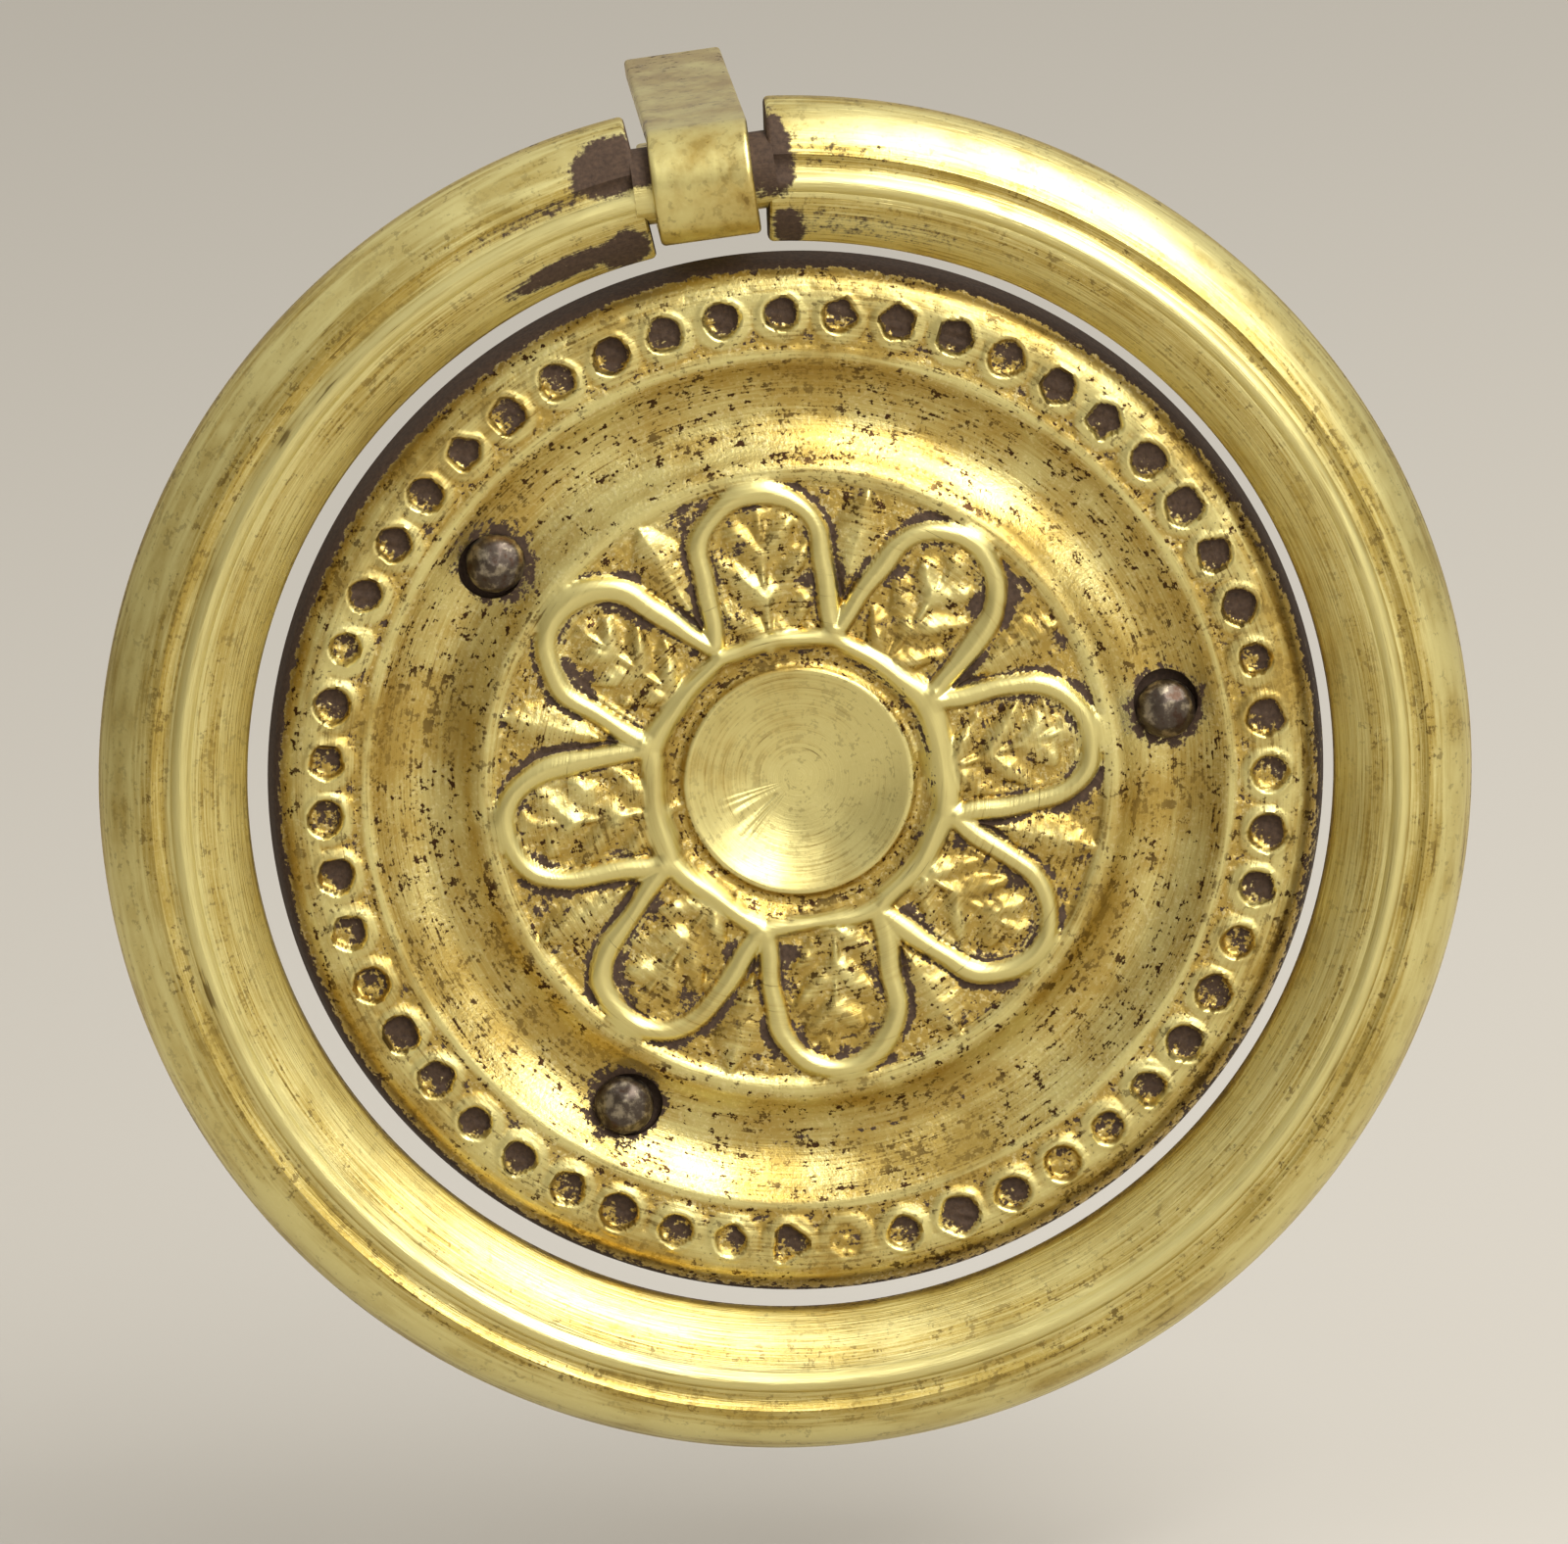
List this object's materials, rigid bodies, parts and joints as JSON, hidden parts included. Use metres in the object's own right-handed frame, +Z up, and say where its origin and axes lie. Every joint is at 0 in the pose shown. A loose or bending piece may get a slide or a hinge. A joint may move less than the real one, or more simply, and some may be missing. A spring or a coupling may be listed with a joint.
{
  "type": "ring pull handle",
  "caption": "Brass ring pull handle: a moulded ring hangs from a bent strap round a nailed plate with a raised flower and a border of punched dots.",
  "frame": {"origin": "middle of the plate's back rim, on the face of the wood", "axes": "+X to the right, +Z up and -Y out of the drawer front, towards the user; +Y goes into the wood"},
  "size_m": [0.07, 0.0316, 0.0698],
  "materials": {
    "plate_brass": "pale aged brass, brown in the hollows",
    "ring_brass": "worn bright brass with scratches along the ring",
    "strap_brass": "mottled olive brass",
    "pin_iron": "dark hammered iron"
  },
  "bodies": {
    "fixed_plate": {"backplate": "plate_brass", "knuckle_strap": "strap_brass", "pin_right": "pin_iron", "pin_lower_left": "pin_iron", "pin_upper_left": "pin_iron"},
    "ring": {"pull_ring": "ring_brass"}
  },
  "joints": [
    {"name": "ring_swing", "type": "hinge", "parent": "fixed_plate", "child": "ring", "pos_m": [-0.0003, -0.00424, 0.03194], "axis": [-1, 0, 0], "range_deg": [0, 180]}
  ]
}
